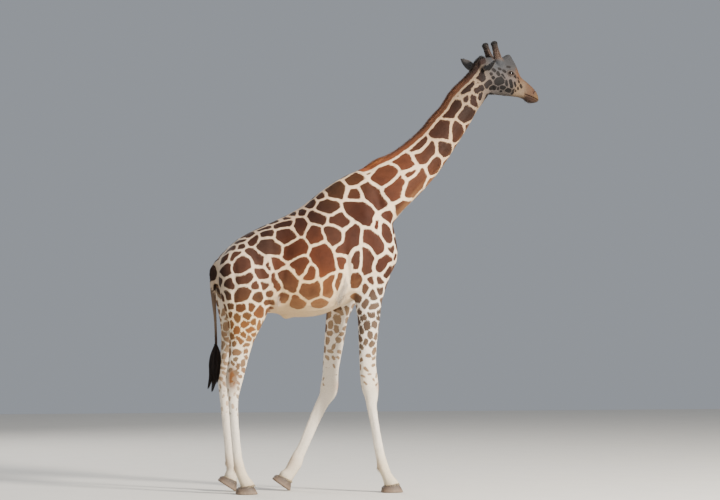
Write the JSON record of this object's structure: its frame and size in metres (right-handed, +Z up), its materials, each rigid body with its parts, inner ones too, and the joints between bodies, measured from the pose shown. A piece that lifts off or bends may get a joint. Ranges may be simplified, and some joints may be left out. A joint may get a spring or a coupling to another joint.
{
  "type": "giraffe",
  "caption": "Life-size standing giraffe in a slow walk, neck raised forward, head turned slightly, net-patterned coat, short horns, mane and tufted tail.",
  "frame": {"origin": "on the floor, under the middle of the whole animal's box", "axes": "+Z up, +X the way the animal faces, so its left side is +Y"},
  "size_m": [3.314, 0.7698, 4.3495],
  "materials": {
    "coat": "short flat fur, chestnut patches parted by narrow cream lines",
    "pale_coat": "short flat cream-white fur",
    "dark_hair": "long coarse black hair",
    "mane_hair": "short upright chestnut hair, near black at the poll",
    "horn": "skin-covered horn with a black hair top",
    "hoof": "matt dark grey-brown horn",
    "eye": "wet dark brown"
  },
  "bodies": {
    "root": {"ear_left": "coat", "ear_right": "coat", "eye_left": "eye", "eye_right": "eye", "foreleg_left_lower": "pale_coat", "foreleg_left_middle": "coat", "foreleg_left_upper": "coat", "foreleg_right_lower": "pale_coat", "foreleg_right_middle": "coat", "foreleg_right_upper": "coat", "head": "coat", "hindleg_left_lower": "pale_coat", "hindleg_left_middle": "coat", "hindleg_left_upper": "coat", "hindleg_right_lower": "pale_coat", "hindleg_right_middle": "coat", "hindleg_right_upper": "coat", "hoof_fore_left_inner": "hoof", "hoof_fore_left_outer": "hoof", "hoof_fore_right_inner": "hoof", "hoof_fore_right_outer": "hoof", "hoof_hind_left_inner": "hoof", "hoof_hind_left_outer": "hoof", "hoof_hind_right_inner": "hoof", "hoof_hind_right_outer": "hoof", "mane": "mane_hair", "neck": "coat", "ossicone_left": "horn", "ossicone_right": "horn", "tail": "coat", "tail_tuft": "dark_hair", "trunk": "coat"}
  },
  "joints": []
}
